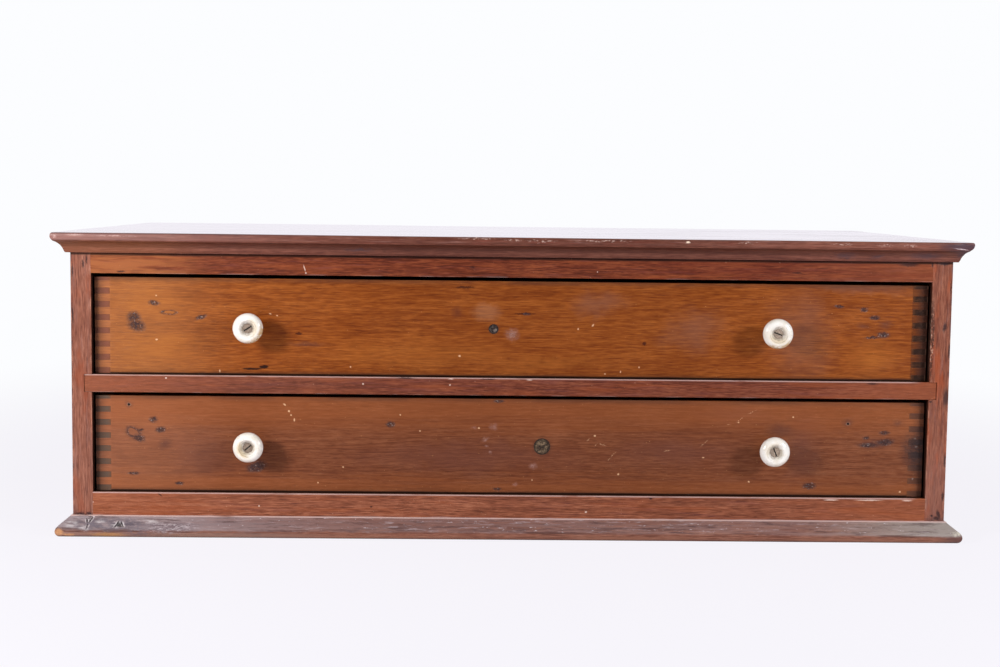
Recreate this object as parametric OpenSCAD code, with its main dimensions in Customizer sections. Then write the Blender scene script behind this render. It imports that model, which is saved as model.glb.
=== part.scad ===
// Tabletop spool cabinet: a low wooden case with a moulded top and base board and two drawers.
// The drawers are finger-jointed at all four corners, are divided into channels for spools, and slide
// out at the front (-Y) on wooden runners. Each has two porcelain knobs.
// Millimetres. The origin is under the middle of the closed cabinet, on the plane it stands on.

/* [Case] */
// Width of the top board over its moulded ends
top_board_w = 660; // [520:1:820]
// Depth of the case, from the front edges of its sides to its back
case_d = 345; // [280:1:430]
// Thickness of the two side boards
side_t = 14.3; // [13:0.1:19]
// Height of each of the two drawer bays
bay_h = 73; // [58:0.1:100]
// Height of the rail under the lower drawer
bottom_rail_h = 16.7; // [12:0.1:25]
// Height of the rail between the drawers
middle_rail_h = 12.9; // [10:0.1:20]
// Height of the rail over the upper drawer
top_rail_h = 14.7; // [11:0.1:22]
// Depth of all three rails, front to back
rail_d = 38; // [30:1:60]
// Depth of the housing in each side for the middle rail and the runners behind it
housing_depth = 5.6; // [4:0.1:6.5]
// Width of the runners and kickers
runner_w = 18; // [15:0.5:30]
// Thickness of the back panel
back_panel_t = 6.5; // [5:0.1:9]
// Width of the rabbet in each side that takes the back panel
back_rabbet_w = 7; // [5:0.1:8]

/* [Top board moulding] */
// Thickness of the top board
top_board_t = 14.7; // [13:0.1:20]
// Overhang of the top board past the front and the sides of the case
top_overhang = 12; // [11:0.1:18]
// Height of the rounded nose along the top
top_nose_h = 5.8; // [4:0.1:6]
// Radius of the nose
top_nose_r = 4; // [3.2:0.1:5]
// Depth of the nose's tip below the top
top_nose_drop = 2.6; // [2:0.1:2.8]
// Height of the narrow groove under the nose
quirk_h = 0.4; // [0.3:0.1:0.8]
// Distance of that groove back from the nose's tip
quirk_in = 1.7; // [1.5:0.1:2.2]
// Depth of the cove, from the groove back to its lower end
cove_depth = 6.6; // [6:0.1:8.5]
// Radius of the cove
cove_r = 10; // [9:0.5:20]
// Height of the small fillet under the cove
top_fillet_h = 1; // [0.8:0.1:1.5]
// Step back from the cove to the fillet
top_fillet_in = 0.4; // [0.3:0.1:0.8]

/* [Base board moulding] */
// Thickness of the base board
base_board_t = 14.7; // [13:0.1:20]
// Overhang of the base board past the front and the sides of the case
base_overhang = 11; // [10:0.1:16]
// Radius of the rounded nose at its lower edge
base_nose_r = 4.5; // [4:0.1:5]
// Height of the nose's tip
base_nose_z = 4.3; // [3.6:0.1:4.3]
// Width of the flat along the top, in front of the case
base_flat_w = 1.6; // [1:0.1:2.5]
// Step down from the flat to the slope
base_step_h = 0.8; // [0.5:0.1:1.5]

/* [Drawers] */
// Recess of the drawer fronts behind the front of the case
drawer_recess = 5.5; // [3:0.1:7]
// Gap between a drawer and each side of its bay
drawer_side_gap = 1.5; // [0.5:0.1:2.5]
// Gap over a drawer
drawer_top_gap = 3; // [1:0.1:4]
// Gap between a drawer and its runners
drawer_lift = 0.4; // [0.3:0.1:0.6]
// Gap between a closed drawer and the back panel, which stops it
drawer_back_gap = 0.3; // [0.3:0.1:1]
// Thickness of the drawer fronts
front_t = 14; // [12:0.1:19]
// Thickness of the drawer sides and backs
drawer_side_t = 10.8; // [9:0.1:13]
// Distance from one finger of a corner joint to the next
finger_pitch = 9.6; // [8:0.1:13]
// Height of the fingers on the drawer sides
side_finger_h = 4.2; // [3.4:0.1:5]
// Gap on each flank of a finger, filled with glue
glue_gap = 0.05; // [0.02:0.01:0.1]
// Thickness of the drawer bottoms
drawer_bottom_t = 4.2; // [3.5:0.1:6]
// Height of a drawer bottom above the drawer's lower edge
drawer_bottom_z = 5.5; // [4.5:0.1:8]
// Depth of the grooves that hold a drawer bottom
groove_depth = 4; // [3:0.1:5]
// Play of a drawer bottom in its grooves
groove_play = 0.2; // [0.1:0.05:0.4]
// Thickness of the dividers
divider_t = 3; // [2.5:0.1:5]
// Drop of the dividers below the upper edge of their drawer
divider_drop = 9.5; // [2:0.5:20]
// Depth of the housings that hold the dividers' ends
divider_housing = 2; // [1.5:0.1:3]

/* [Knobs] */
// Distance of the knobs from the middle of the drawer
knob_x = 190; // [140:1:200]
// Diameter of a knob
knob_d = 21.8; // [18:0.1:28]
// Distance from the drawer front to the knob's face
knob_out = 20; // [18:0.1:26]
// Radius of the knob's foot
knob_foot_r = 6.8; // [6:0.1:8]
// Height of the knob's foot, below the scoop
knob_foot_h = 1; // [0.5:0.1:2]
// Radius of the knob's neck
knob_neck_r = 4.6; // [4.2:0.1:5.5]
// Thickness of the knob's head
knob_head_h = 8.4; // [7:0.1:10]
// Radius of the round rim of the head
knob_rim_r = 4.4; // [4.3:0.1:6]
// Radius of the dished recess in the knob's face
knob_dish_r = 6; // [5:0.1:6.5]
// Radius of the scoop between foot and head
knob_scoop_r = 6; // [5:0.1:8]

/* [Fasteners] */
// Radius of a countersunk screw's head
screw_head_r = 3.55; // [3.2:0.05:4]
// Radius of a screw's shank
screw_shank_r = 1.75; // [1.5:0.05:2]
// Length of the screws through the base board into the sides
base_screw_l = 38; // [30:1:50]
// Length of the screws through the base board into the bottom rail
rail_screw_l = 27; // [24:1:30]
// Distance between neighbouring screws of the bottom rail
rail_screw_pitch = 200; // [120:1:240]
// Distance of the outer screws of each side from the rails' backs and from the back
screw_inset = 30; // [15:1:60]
// Length of the screws through the kickers into the top board
top_screw_l = 23; // [19:1:26]
// Length of the knob screws
knob_screw_l = 28.5; // [26:0.5:31]
// Radius of the nails in the back panel
nail_r = 0.8; // [0.7:0.05:1.2]
// Length of the nails
nail_l = 22; // [16:1:30]
// Radius of the dowels in the ends of the top and bottom rails
dowel_r = 3; // [2.5:0.1:4]
// Depth of a dowel in the side board, and in the rail
dowel_depth = 9; // [7:0.5:11]
// Gap round a dowel, nail or screw shank in its hole
fastener_gap = 0.08; // [0.05:0.01:0.1]
// Radius of the plug in the upper drawer front
upper_plug_r = 3.5; // [3:0.1:6]
// Place of that plug along the front, from its middle
upper_plug_x = -14.3; // [-100:0.1:100]
// Radius of the plug in the lower drawer front
lower_plug_r = 6; // [4:0.1:8]
// Place of that plug along the front, from its middle
lower_plug_x = 22.1; // [-100:0.1:100]
// Length of the plugs
plug_l = 8; // [6:0.5:11]

/* [Hidden] */
$fn = 96;
// Number of dividers in a drawer, which makes one channel more
divider_count = 7;
drawers = ["upper", "lower"];
hands = ["left", "right"];
drawer_piece_names = ["drawer_front", "drawer_back", "drawer_left_side", "drawer_right_side",
    "drawer_bottom", "left_knob", "right_knob", "left_knob_screw", "right_knob_screw", "hole_plug"];

// Overshoot of every cut past the surface it opens
cut = 1;
// Clearance at the hidden ends of housed and rabbeted pieces
end_gap = 0.3;
// Depth of a screw or nail head below the wood's surface
head_sink = 0.4;
// Thickness of the rim of a screw head, over its cone
head_rim = 0.4;
// Length of the point of a screw
point_l = 3;
// Width and depth of the slot in a screw head
slot = [0.9, 0.8];
// Thickness of a nail head
nail_head_l = 0.8;
// Gap of a knob round its screw's head, and half of its gap round the shank
knob_seat_gap = 0.15;
// The base board's slope ends at this angle on its nose, and this share of the nose's radius out
slope_end_turn = 55;
slope_end_share = 0.93;
// Added to the cove's radius, so that the cove runs out clear of the groove's inner corner
cove_clear = 0.002;

// Case, left to right
case_x = top_board_w / 2 - top_overhang;
bay_x = case_x - side_t;
side_mid_x = case_x - side_t / 2;
runner_mid_x = bay_x - runner_w / 2;
// Case, front to back. The closed cabinet reaches from the knobs or the top's nose to its back.
front_reach = max(top_overhang, knob_out - drawer_recess);
case_front = (front_reach - case_d) / 2;
case_back = (front_reach + case_d) / 2;
rail_back = case_front + rail_d;
bay_back = case_back - back_panel_t;
// Case, bottom to top
lower_bay_z = base_board_t + bottom_rail_h;
middle_rail_z = lower_bay_z + bay_h;
upper_bay_z = middle_rail_z + middle_rail_h;
top_rail_z = upper_bay_z + bay_h;
top_board_z = top_rail_z + top_rail_h;

// Drawers, with their lower edge at z = 0 until they are placed
drawer_h = bay_h - drawer_top_gap - drawer_lift;
drawer_x = bay_x - drawer_side_gap;
drawer_in_x = drawer_x - drawer_side_t;
drawer_front = case_front + drawer_recess;
drawer_back = bay_back - drawer_back_gap;
drawer_in_front = drawer_front + front_t;
drawer_in_back = drawer_back - drawer_side_t;
divider_z = drawer_bottom_z + drawer_bottom_t;
divider_top = drawer_h - divider_drop;
knob_z = drawer_h / 2;
// The knob screw's head lies this far in front of the drawer, sunk into the dish of the knob's face
dish_depth = 2.5;
knob_screw_out = knob_out - dish_depth;

// Places of the fasteners
screw_rows = [rail_back + screw_inset, (rail_back + case_back) / 2, case_back - screw_inset];
rail_screw_x = [-rail_screw_pitch, 0, rail_screw_pitch];
dowel_y = [case_front + rail_d / 4, case_front + rail_d * 3 / 4];
nail_x = bay_x + back_rabbet_w / 2;
nails_a_side = 4;
nail_pitch = (top_board_z - base_board_t) / nails_a_side;
nail_z = [for (i = [1:nails_a_side]) base_board_t + (i - 0.5) * nail_pitch];
// Turn of the slot in each knob screw: left, right
upper_slot_turns = [33, 160];
lower_slot_turns = [40, 112];

function is_upper(drawer) = drawer == "upper";
function drawer_z(drawer) = drawer_lift + (is_upper(drawer) ? upper_bay_z : lower_bay_z);
function plug_r(drawer) = is_upper(drawer) ? upper_plug_r : lower_plug_r;
function plug_x(drawer) = is_upper(drawer) ? upper_plug_x : lower_plug_x;
function slot_turns(drawer) = is_upper(drawer) ? upper_slot_turns : lower_slot_turns;
function divider_x(i) = -drawer_in_x + i * 2 * drawer_in_x / (divider_count + 1);
// The range of the given width about a middle
function about(middle, width) = [middle - width / 2, middle + width / 2];
// Centre of an arc of radius r from a to b, to the left of the way from a to b
function arc_centre(a, b, r) =
    let (chord = b - a, half = norm(chord) / 2, left = [-chord[1], chord[0]] / norm(chord))
    (a + b) / 2 + left * sqrt(r * r - half * half);

// A block that fills the given ranges along X, Y and Z
module block(x, y, z) {
    translate([x[0], y[0], z[0]])
        cube([x[1] - x[0], y[1] - y[0], z[1] - z[0]]);
}

// The same piece at the left, drawn at the right
module at_left() {
    mirror([1, 0, 0])
        children();
}

module on_hand(hand) {
    if (hand == "left") at_left() children();
    else children();
}

// Cross-section of the top board's moulded edge. x = 0 is the case's face and x reaches back by run.
module top_edge_section(run) {
    nose_z = top_board_t - top_nose_h;
    nose_x = top_overhang - top_nose_r;
    cove_start = [top_overhang - quirk_in, nose_z - quirk_h];
    cove_end = [cove_start[0] - cove_depth, top_fillet_h];
    intersection() {
        translate([nose_x, top_board_t - top_nose_drop])
            circle(top_nose_r);
        translate([nose_x - cut, nose_z])
            square([top_nose_r + 2 * cut, top_nose_h]);
    }
    translate([-run, nose_z])
        square([run + nose_x, top_nose_h]);
    difference() {
        translate([-run, top_fillet_h])
            square([run + cove_start[0], nose_z - top_fillet_h]);
        intersection() {
            translate(arc_centre(cove_start, cove_end, cove_r))
                circle(cove_r + cove_clear);
            translate([-run, top_fillet_h])
                square([run + cove_start[0] + cut, cove_start[1] - top_fillet_h]);
        }
    }
    translate([-run, 0])
        square([run + cove_end[0] - top_fillet_in, top_fillet_h]);
}

// Cross-section of the base board's moulded edge, laid out in the same way
module base_edge_section(run) {
    nose = [base_overhang - base_nose_r, base_nose_z];
    slope_end = nose + slope_end_share * base_nose_r * [cos(slope_end_turn), sin(slope_end_turn)];
    intersection() {
        translate(nose)
            circle(base_nose_r);
        translate([nose[0] - cut, 0])
            square([base_nose_r + 2 * cut, 2 * base_nose_r]);
    }
    polygon([
        [-run, 0], [nose[0], 0], slope_end,
        [base_flat_w, base_board_t - base_step_h], [base_flat_w, base_board_t], [-run, base_board_t]]);
}

// A board of the given section along its front and both ends, mitred at the corners by nature.
// Its children are the section for the front and the section for an end.
module moulded_board(thickness) {
    intersection() {
        translate([0, case_front, 0])
            rotate([90, 0, -90])
                linear_extrude(2 * top_board_w, center = true)
                    children(0);
        translate([0, case_back, 0])
            rotate([90, 0, 0])
                linear_extrude(2 * case_d)
                    union() {
                        translate([case_x, 0]) children(1);
                        mirror([1, 0]) translate([case_x, 0]) children(1);
                    }
    }
}

// A slotted countersunk screw. Its head's face is at z = 0 and it points up.
module screw(length, slot_turn = 0) {
    difference() {
        rotate_extrude()
            polygon([
                [0, 0], [screw_head_r, 0], [screw_head_r, head_rim],
                [screw_shank_r, head_rim + screw_head_r - screw_shank_r],
                [screw_shank_r, length - point_l], [0, length]]);
        rotate([0, 0, slot_turn])
            translate([-screw_head_r - cut, -slot[0] / 2, -cut])
                cube([2 * (screw_head_r + cut), slot[0], slot[1] + cut]);
    }
}

// The hole for that screw, open below its head
module screw_hole(length) {
    head_r = screw_head_r + fastener_gap;
    shank_r = screw_shank_r + fastener_gap;
    rotate_extrude()
        polygon([
            [0, -cut], [head_r, -cut], [head_r, head_rim],
            [shank_r, head_rim + head_r - shank_r], [shank_r, length + end_gap], [0, length + end_gap]]);
}

// Places of the three groups of screws: below the sides, below the bottom rail, below the kickers
module at_base_screws() {
    for (x = [-side_mid_x, side_mid_x], y = screw_rows)
        translate([x, y, head_sink]) children();
}

module at_rail_screws() {
    for (x = rail_screw_x)
        translate([x, case_front + rail_d / 2, head_sink]) children();
}

module at_top_screws() {
    for (x = [-runner_mid_x, runner_mid_x], y = screw_rows)
        translate([x, y, top_rail_z + head_sink]) children();
}

// Nails at the given gap wider than themselves, pointing forward from the back
module nails(gap) {
    for (x = [-nail_x, nail_x], z = nail_z)
        translate([x, case_back - head_sink, z])
            rotate([90, 0, 0]) {
                cylinder(h = nail_l + gap, r = nail_r + gap);
                translate([0, 0, gap > 0 ? -cut : 0])
                    cylinder(h = nail_head_l + (gap > 0 ? cut + gap : 0), r = 2 * nail_r + gap);
            }
}

// Dowels along X at both ends of the top and bottom rails
module dowels(gap) {
    for (x = [-bay_x, bay_x], y = dowel_y,
         z = [base_board_t + bottom_rail_h / 2, top_rail_z + top_rail_h / 2])
        translate([x, y, z])
            rotate([0, 90, 0])
                cylinder(h = 2 * (dowel_depth + gap), r = dowel_r + gap, center = true);
}

module top_board() {
    color("sienna")
        difference() {
            translate([0, 0, top_board_z])
                moulded_board(top_board_t) {
                    top_edge_section(2 * case_d);
                    top_edge_section(case_x + cut);
                }
            at_top_screws() screw_hole(top_screw_l);
        }
}

module base_board() {
    color("rosybrown")
        difference() {
            moulded_board(base_board_t) {
                base_edge_section(2 * case_d);
                base_edge_section(case_x + cut);
            }
            at_base_screws() screw_hole(base_screw_l);
            at_rail_screws() screw_hole(rail_screw_l);
        }
}

// A side board, drawn at the right, with the long housing and the rabbet for the back
module side_board() {
    color("saddlebrown")
        difference() {
            block([bay_x, case_x], [case_front, case_back], [base_board_t, top_board_z]);
            block([bay_x - cut, bay_x + housing_depth], [case_front - cut, case_back + cut],
                  [middle_rail_z, upper_bay_z]);
            block([bay_x - cut, bay_x + back_rabbet_w], [bay_back, case_back + cut],
                  [base_board_t - cut, top_board_z + cut]);
            dowels(fastener_gap);
            nails(fastener_gap);
            at_base_screws() screw_hole(base_screw_l);
        }
}

module top_rail() {
    color("sienna")
        difference() {
            block([-bay_x, bay_x], [case_front, rail_back], [top_rail_z, top_board_z]);
            dowels(fastener_gap);
        }
}

// The middle rail is housed in both sides, and its ends show on their front edges
module middle_rail() {
    reach = bay_x + housing_depth - end_gap;
    color("sienna")
        block([-reach, reach], [case_front, rail_back], [middle_rail_z, upper_bay_z]);
}

module bottom_rail() {
    color("sienna")
        difference() {
            block([-bay_x, bay_x], [case_front, rail_back], [base_board_t, lower_bay_z]);
            dowels(fastener_gap);
            at_rail_screws() screw_hole(rail_screw_l);
        }
}

module back_panel() {
    reach = bay_x + back_rabbet_w - end_gap;
    color("burlywood")
        difference() {
            block([-reach, reach], [bay_back, case_back], [base_board_t, top_board_z - end_gap]);
            nails(fastener_gap);
        }
}

// Runners, drawn at the right. The upper one lies in the side's housing behind the middle rail.
module upper_runner() {
    color("tan")
        block([bay_x - runner_w, bay_x + housing_depth - end_gap], [rail_back, bay_back],
              [middle_rail_z, upper_bay_z]);
}

module lower_runner() {
    color("tan")
        block([bay_x - runner_w, bay_x], [rail_back, bay_back], [base_board_t, lower_bay_z]);
}

// A kicker keeps the upper drawer from tipping and holds the screws of the top board
module kicker() {
    color("tan")
        difference() {
            block([bay_x - runner_w, bay_x], [rail_back, bay_back], [top_rail_z, top_board_z]);
            at_top_screws() screw_hole(top_screw_l);
        }
}

module rail_dowels() {
    color("wheat")
        dowels(0);
}

module base_screws() {
    color("dimgray")
        at_base_screws() screw(base_screw_l);
}

module rail_screws() {
    color("dimgray")
        at_rail_screws() screw(rail_screw_l);
}

module top_screws() {
    color("dimgray")
        at_top_screws() screw(top_screw_l);
}

module back_nails() {
    color("dimgray")
        nails(0);
}

// The corner joints of the drawers: the range along Z that each finger of a side fills
finger_count = floor((drawer_h - cut) / finger_pitch) + 1;
function side_finger(i) = [i * finger_pitch, i * finger_pitch + side_finger_h];

// Cuts in one end of a drawer front or back, for the fingers of the side at +X
module side_finger_cuts(y) {
    for (i = [0:finger_count - 1])
        block([drawer_in_x, drawer_x + cut], y,
              [i == 0 ? -cut : side_finger(i)[0] - glue_gap, side_finger(i)[1] + glue_gap]);
}

// Cuts in one end of a drawer side, for the fingers of the front or back
module end_finger_cuts(y) {
    for (i = [0:finger_count - 1])
        if (side_finger(i)[1] < drawer_h)
            block([drawer_in_x - cut, drawer_x + cut], y,
                  [side_finger(i)[1], i == finger_count - 1 ? drawer_h + cut : side_finger(i + 1)[0]]);
}

// A drawer front or back over the given range of Y, with its inner face at inner_y
module drawer_end(y, inner_y, inward) {
    groove_y = inner_y - inward * groove_depth;
    housing_y = inner_y - inward * divider_housing;
    open_y = inner_y + inward * cut;
    difference() {
        block([-drawer_x, drawer_x], y, [0, drawer_h]);
        side_finger_cuts([y[0] - cut, y[1] + cut]);
        at_left() side_finger_cuts([y[0] - cut, y[1] + cut]);
        block([-drawer_in_x, drawer_in_x], [min(groove_y, open_y), max(groove_y, open_y)],
              [drawer_bottom_z, divider_z + groove_play]);
        for (i = [1:divider_count])
            block(about(divider_x(i), divider_t + 2 * glue_gap),
                  [min(housing_y, open_y), max(housing_y, open_y)], [divider_z, drawer_h + cut]);
    }
}

module drawer_front_piece(drawer) {
    color(is_upper(drawer) ? "peru" : "chocolate")
        translate([0, 0, drawer_z(drawer)])
            difference() {
                drawer_end([drawer_front, drawer_in_front], drawer_in_front, 1);
                for (x = [-knob_x, knob_x])
                    translate([x, drawer_front - knob_screw_out, knob_z])
                        rotate([-90, 0, 0])
                            cylinder(h = knob_screw_l + end_gap, r = screw_shank_r + fastener_gap);
                translate([plug_x(drawer), drawer_front - cut, knob_z])
                    rotate([-90, 0, 0])
                        cylinder(h = plug_l + end_gap + cut, r = plug_r(drawer) + fastener_gap);
            }
}

module drawer_back_piece(drawer) {
    color("tan")
        translate([0, 0, drawer_z(drawer)])
            drawer_end([drawer_in_back, drawer_back], drawer_in_back, -1);
}

// A drawer side, drawn at the right
module drawer_side_piece(drawer) {
    color("tan")
        translate([0, 0, drawer_z(drawer)])
            difference() {
                block([drawer_in_x, drawer_x], [drawer_front, drawer_back], [0, drawer_h]);
                end_finger_cuts([drawer_front - cut, drawer_in_front]);
                end_finger_cuts([drawer_in_back, drawer_back + cut]);
                block([drawer_in_x - cut, drawer_in_x + groove_depth], [drawer_in_front, drawer_in_back],
                      [drawer_bottom_z, divider_z + groove_play]);
            }
}

// The bottom lies in grooves on all four sides, so its corners are cut out round the joints
module drawer_bottom_piece(drawer) {
    play = groove_play;
    tongue = groove_depth - end_gap;
    color("burlywood")
        translate([0, 0, drawer_z(drawer)])
            union() {
                block([-drawer_in_x - tongue, drawer_in_x + tongue],
                      [drawer_in_front + play, drawer_in_back - play], [drawer_bottom_z, divider_z]);
                block([-drawer_in_x + play, drawer_in_x - play],
                      [drawer_in_front - tongue, drawer_in_back + tongue], [drawer_bottom_z, divider_z]);
            }
}

module divider(drawer, i) {
    reach = divider_housing - end_gap;
    color("burlywood")
        translate([0, 0, drawer_z(drawer)])
            block(about(divider_x(i), divider_t),
                  [drawer_in_front - reach, drawer_in_back + reach], [divider_z, divider_top]);
}

// Half of a knob's section: x is the radius and y the distance from the drawer front
module knob_section() {
    head_z = knob_out - knob_head_h;
    rim_x = knob_d / 2 - knob_rim_r;
    bore_r = screw_shank_r + 2 * knob_seat_gap;
    dish_r = screw_head_r + knob_seat_gap;
    seat_z = knob_screw_out - head_rim;
    difference() {
        union() {
            square([knob_foot_r, head_z + cut]);
            translate([0, head_z])
                square([rim_x, knob_head_h]);
            intersection() {
                translate([rim_x, head_z + knob_head_h / 2])
                    circle(knob_rim_r);
                translate([rim_x - cut, head_z])
                    square([knob_rim_r + 2 * cut, knob_head_h]);
            }
        }
        intersection() {
            translate([knob_neck_r + knob_scoop_r, (knob_foot_h + head_z) / 2])
                circle(knob_scoop_r);
            square([knob_d, head_z]);
        }
        polygon([
            [0, -cut], [bore_r, -cut], [bore_r, seat_z - dish_r + bore_r], [dish_r, seat_z],
            [dish_r, knob_screw_out], [knob_dish_r, knob_out], [knob_dish_r, knob_out + cut],
            [0, knob_out + cut]]);
    }
}

// A knob or its screw, at the right or the left of its drawer
module at_knob(drawer, hand) {
    translate([hand == "left" ? -knob_x : knob_x, drawer_front, drawer_z(drawer) + knob_z])
        children();
}

module knob(drawer, hand) {
    color("ivory")
        at_knob(drawer, hand)
            rotate([90, 0, 0])
                rotate_extrude()
                    knob_section();
}

module knob_screw(drawer, hand) {
    turn = slot_turns(drawer)[hand == "left" ? 0 : 1];
    color("dimgray")
        at_knob(drawer, hand)
            translate([0, -knob_screw_out, 0])
                rotate([-90, 0, 0])
                    screw(knob_screw_l, -turn);
}

// A plug that fills an old hole in a drawer front
module hole_plug(drawer) {
    color("darkslategray")
        translate([plug_x(drawer), drawer_front, drawer_z(drawer) + knob_z])
            rotate([-90, 0, 0])
                cylinder(h = plug_l, r = plug_r(drawer));
}

top_board();
base_board();
at_left() side_board();  // left_side
side_board();  // right_side
top_rail();
middle_rail();
bottom_rail();
back_panel();
rail_dowels();
base_screws();
rail_screws();
top_screws();
back_nails();
for (hand = hands) {
    on_hand(hand) upper_runner();
    on_hand(hand) lower_runner();
    on_hand(hand) kicker();
}
for (drawer = drawers) {
    drawer_front_piece(drawer);
    drawer_back_piece(drawer);
    at_left() drawer_side_piece(drawer);
    drawer_side_piece(drawer);
    drawer_bottom_piece(drawer);
    hole_plug(drawer);
    for (hand = hands) {
        knob(drawer, hand);
        knob_screw(drawer, hand);
    }
    for (i = [1:divider_count])
        divider(drawer, i);
}
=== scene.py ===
"""Looks of a two-drawer tabletop spool cabinet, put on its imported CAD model. Metres, as the model is."""
import math

import bpy
import numpy as np
from mathutils import Matrix, Vector, noise


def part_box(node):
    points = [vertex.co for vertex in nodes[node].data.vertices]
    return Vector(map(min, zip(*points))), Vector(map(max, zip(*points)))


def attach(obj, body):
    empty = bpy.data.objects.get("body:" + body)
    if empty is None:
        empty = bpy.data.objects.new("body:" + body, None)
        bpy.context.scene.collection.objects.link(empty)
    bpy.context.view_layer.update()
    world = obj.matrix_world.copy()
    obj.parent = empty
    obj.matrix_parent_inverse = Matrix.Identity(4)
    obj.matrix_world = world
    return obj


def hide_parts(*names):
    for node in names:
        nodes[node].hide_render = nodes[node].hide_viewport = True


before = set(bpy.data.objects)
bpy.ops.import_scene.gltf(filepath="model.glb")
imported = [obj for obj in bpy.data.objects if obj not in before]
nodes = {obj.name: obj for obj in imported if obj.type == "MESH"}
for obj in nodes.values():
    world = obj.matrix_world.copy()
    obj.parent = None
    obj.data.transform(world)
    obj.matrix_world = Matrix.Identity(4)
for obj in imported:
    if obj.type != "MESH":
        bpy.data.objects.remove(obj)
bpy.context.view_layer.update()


# Base board: one plank of mahogany under the whole case. Its front and both ends were run through a
# moulding plane: a narrow flat, a small step, a long slope and a rounded nose. It is dusty on the
# slope, rubbed bare along the nose, and split and scored at its left front corner.

class Value:
    """A number, colour or vector worked out by a net of nodes. Arithmetic on it adds Math nodes."""

    def __init__(self, net, socket):
        self.net = net
        self.socket = socket

    def math(self, operation, *inputs):
        return self.net.node("Math", {"operation": operation}, dict(enumerate(inputs)))

    def __add__(self, other):
        return self.math("ADD", self, other)

    def __mul__(self, other):
        return self.math("MULTIPLY", self, other)

    def __sub__(self, other):
        return self.math("SUBTRACT", self, other)

    def __rsub__(self, other):
        return self.math("SUBTRACT", other, self)

    __radd__ = __add__
    __rmul__ = __mul__

    def size(self):
        return self.math("ABSOLUTE", self)

    def root(self):
        return self.math("SQRT", self)

    def over(self, other):
        return self.math("MAXIMUM", self, other)

    def step(self, low, high):
        """0 below low, 1 above high and a soft rise between; low may be the larger one."""
        return self.net.node("MapRange", {"interpolation_type": "SMOOTHSTEP"},
                             {"Value": self, "From Min": low, "From Max": high})


def tone(red, green, blue):
    """A colour as the eye reads it, 0 to 255, turned into the light it stands for."""
    shares = [v / 255 for v in (red, green, blue)]
    return (*(v / 12.92 if v <= 0.04045 else ((v + 0.055) / 1.055) ** 2.4 for v in shares), 1)


class Net:
    """A net of shader nodes."""

    def __init__(self, tree):
        self.tree = tree

    def node(self, kind, settings=None, inputs=None, out=0):
        made = self.tree.nodes.new("ShaderNode" + kind)
        for name, value in (settings or {}).items():
            if name == "stops":
                while len(made.color_ramp.elements) < len(value):
                    made.color_ramp.elements.new(1)
                for element, (at, colour) in zip(made.color_ramp.elements, value):
                    element.position, element.color = at, colour
            else:
                setattr(made, name, value)
        self.feed(made, inputs or {})
        return Value(self, made.outputs[out])

    def feed(self, made, inputs):
        for name, value in inputs.items():
            if isinstance(value, Value):
                self.tree.links.new(value.socket, made.inputs[name])
            else:
                made.inputs[name].default_value = value

    def parts(self, vector):
        first = self.node("SeparateXYZ", inputs={0: vector})
        return [Value(self, socket) for socket in first.socket.node.outputs]

    def length(self, vector):
        return self.node("VectorMath", {"operation": "LENGTH"}, {0: vector}, out=1)

    def moved(self, vector, times, plus):
        """The vector times one vector and plus another. A single number stands for three equal ones."""
        times, plus = ((v,) * 3 if isinstance(v, (int, float)) else v for v in (times, plus))
        return self.node("VectorMath", {"operation": "MULTIPLY_ADD"}, {0: vector, 1: times, 2: plus})

    def mix(self, first, second, share, how="MIX"):
        """Two colours mixed. Each is a Value, or three numbers from 0 to 255 as the eye reads them."""
        first, second = (v if isinstance(v, Value) else tone(*v) for v in (first, second))
        return self.node("Mix", {"data_type": "RGBA", "blend_type": how},
                         {0: share, 6: first, 7: second}, out=2)


MM = 0.001  # one millimetre, in metres


class Finish(Net):
    """One material. Places in it are in millimetres, in the frame of the cabinet."""

    def __init__(self, name):
        self.material = bpy.data.materials.new(name)
        self.material.use_nodes = True
        super().__init__(self.material.node_tree)
        self.shader = self.tree.nodes["Principled BSDF"]
        where = self.node("TexCoord", out="Object")
        self.place = self.node("VectorMath", {"operation": "SCALE"}, {0: where, "Scale": 1 / MM})
        self.x, self.y, self.z = self.parts(self.place)

    def cloud(self, size, seed, detail=2, rough=0.5, space=None):
        """Smooth noise from 0 to 1. size is how many millimetres one patch takes each way."""
        sizes = size if isinstance(size, tuple) else (size,) * 3
        at = self.moved(space or self.place, [1 / s for s in sizes], (seed, seed * 1.7, seed * 2.3))
        return self.node("TexNoise", inputs={"Vector": at, "Scale": 1, "Detail": detail,
                                             "Roughness": rough})

    def spots(self, marks, y, ragged=1.5, soft=0.6, seed=3, deep=5):
        """1 in the middle of each mark and 0 outside them all.

        A mark is x, z, half length, half height and, if it is turned, its turn in degrees. The marks lie
        about the plane y and reach deep to each side of it. ragged is how far their edges wander.
        """
        jitter = self.node("TexNoise", inputs={"Vector": self.moved(self.place, 0.6 / max(ragged, 1), seed),
                                               "Scale": 1, "Detail": 3, "Roughness": 0.65}, out=1)
        shaken = self.moved(jitter, ragged * 2, self.place)
        total = None
        for x, z, long, high, *turn in marks:
            inside = self.node("Mapping", {"vector_type": "TEXTURE"}, {
                "Vector": shaken, "Location": (x + ragged, y + ragged, z + ragged),
                "Rotation": (0, -math.radians(sum(turn)), 0), "Scale": (long, deep + ragged, high)})
            one = self.length(inside).step(1, 1 - soft)
            total = one if total is None else total.over(one)
        return total

    def bump(self, height, strength=1, distance=MM):
        return self.node("Bump", inputs={"Strength": strength, "Distance": distance, "Height": height})

    def done(self, **sockets):
        """Sets the shader's own sockets: colour, gloss and whatever else is named."""
        self.feed(self.shader, {name.replace("_", " ").title().replace("Ior", "IOR"): value
                                for name, value in sockets.items()})
        return self.material


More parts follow.
